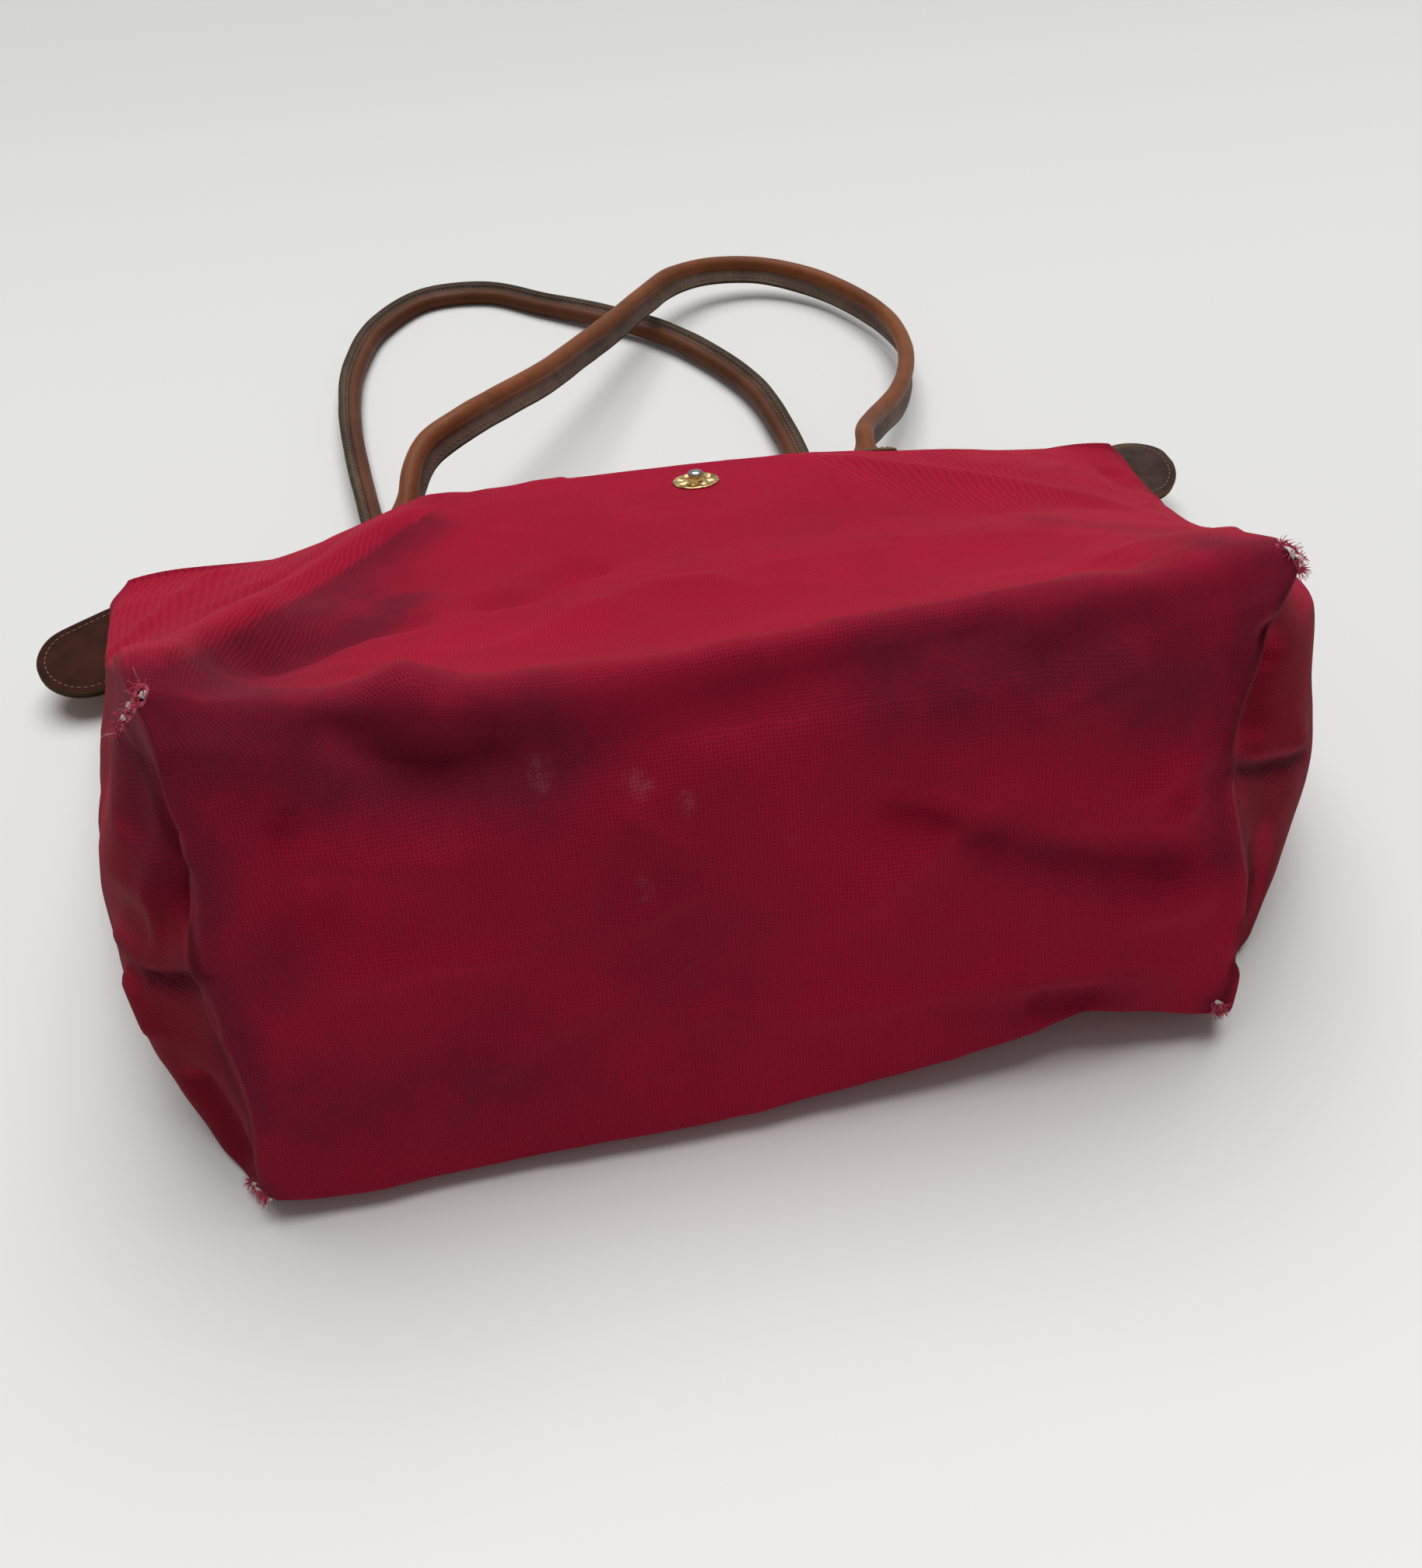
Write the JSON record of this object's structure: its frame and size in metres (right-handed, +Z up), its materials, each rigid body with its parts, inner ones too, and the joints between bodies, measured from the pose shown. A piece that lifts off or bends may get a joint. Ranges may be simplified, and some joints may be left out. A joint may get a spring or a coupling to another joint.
{
  "type": "folding tote bag",
  "caption": "Soft canvas tote with two rolled leather handles, a zipped mouth, leather end tabs and a snap flap, lying on its back panel.",
  "frame": {"origin": "on the table that the bag lies on, under the middle of its flat back panel", "axes": "+X to the right along the mouth, +Y from the base panel towards the mouth and handles, +Z up out of the front panel"},
  "size_m": [0.5188, 0.5902, 0.1693],
  "materials": {
    "canvas": "woven canvas with a coating on the inside",
    "binding": "woven tape",
    "lining": "thin plain cloth",
    "zip_tape": "woven tape",
    "zip_coil": "moulded coil",
    "gilt_metal": "polished gilt",
    "dark_metal": "worn dark cap",
    "stud_backing": "plain",
    "handle_leather": "rolled, stitched, slightly worn",
    "handle_core": "twisted cotton rope",
    "tab_leather": "suede face with stitched edge",
    "flap_leather": "smooth, stitched edge"
  },
  "bodies": {
    "bag": {"canvas_body": "canvas", "left_side_seam_binding": "binding", "right_side_seam_binding": "binding", "left_base_seam_binding": "binding", "right_base_seam_binding": "binding", "inner_pocket": "lining", "zip_tape_front": "zip_tape", "zip_tape_rear": "zip_tape", "zip_chain_front": "zip_coil", "zip_chain_rear": "zip_coil", "zip_top_stop_front": "gilt_metal", "zip_top_stop_rear": "gilt_metal", "zip_bottom_stop": "gilt_metal", "stud_rosette": "gilt_metal", "stud_patch": "stud_backing", "stud_washer": "gilt_metal", "stud_post": "gilt_metal", "stud_cap": "dark_metal", "flap_anchor": "flap_leather", "front_handle_left_anchor": "handle_leather", "front_handle_right_anchor": "handle_leather", "rear_handle_left_anchor": "handle_leather", "rear_handle_right_anchor": "handle_leather", "left_tab_upper": "tab_leather", "left_tab_lower": "tab_leather", "right_tab_upper": "tab_leather", "right_tab_lower": "tab_leather"},
    "zip_slider": {"zip_slider": "gilt_metal"},
    "zip_pull": {"zip_pull": "gilt_metal"},
    "front_handle": {"front_handle_leather": "handle_leather", "front_handle_core": "handle_core"},
    "rear_handle": {"rear_handle_leather": "handle_leather", "rear_handle_core": "handle_core"},
    "flap_leaf": {"flap_leaf": "flap_leather"},
    "flap_tip": {"flap_tip": "flap_leather", "snap_socket": "gilt_metal", "snap_cap": "gilt_metal"}
  },
  "joints": [
    {"name": "zip_slide", "type": "slide", "parent": "bag", "child": "zip_slider", "axis": [1, 0, 0], "range_m": [-0.416, 0]},
    {"name": "zip_pull_swing", "type": "hinge", "parent": "zip_slider", "child": "zip_pull", "pos_m": [0.2146, 0.1632, 0.028], "axis": [0, 0, -1], "range_deg": [0, 120]},
    {"name": "front_handle_swing", "type": "hinge", "parent": "bag", "child": "front_handle", "pos_m": [0, 0.172, 0.049], "axis": [1, 0, 0], "range_deg": [0, 75]},
    {"name": "rear_handle_swing", "type": "hinge", "parent": "bag", "child": "rear_handle", "pos_m": [0, 0.172, 0.01], "axis": [1, 0, 0], "range_deg": [-90, 0]},
    {"name": "flap_fold", "type": "hinge", "parent": "bag", "child": "flap_leaf", "pos_m": [0.028, 0.165, 0.0036], "axis": [1, 0, 0], "range_deg": [0, 265.63]},
    {"name": "flap_tip_fold", "type": "hinge", "parent": "flap_leaf", "child": "flap_tip", "pos_m": [0.028, 0.10462, 0.002], "axis": [1, 0, 0], "range_deg": [0, 79.59]}
  ],
  "couplings": [
    {"joint": "flap_tip_fold", "follows": "flap_fold", "ratio": 0.29959}
  ]
}
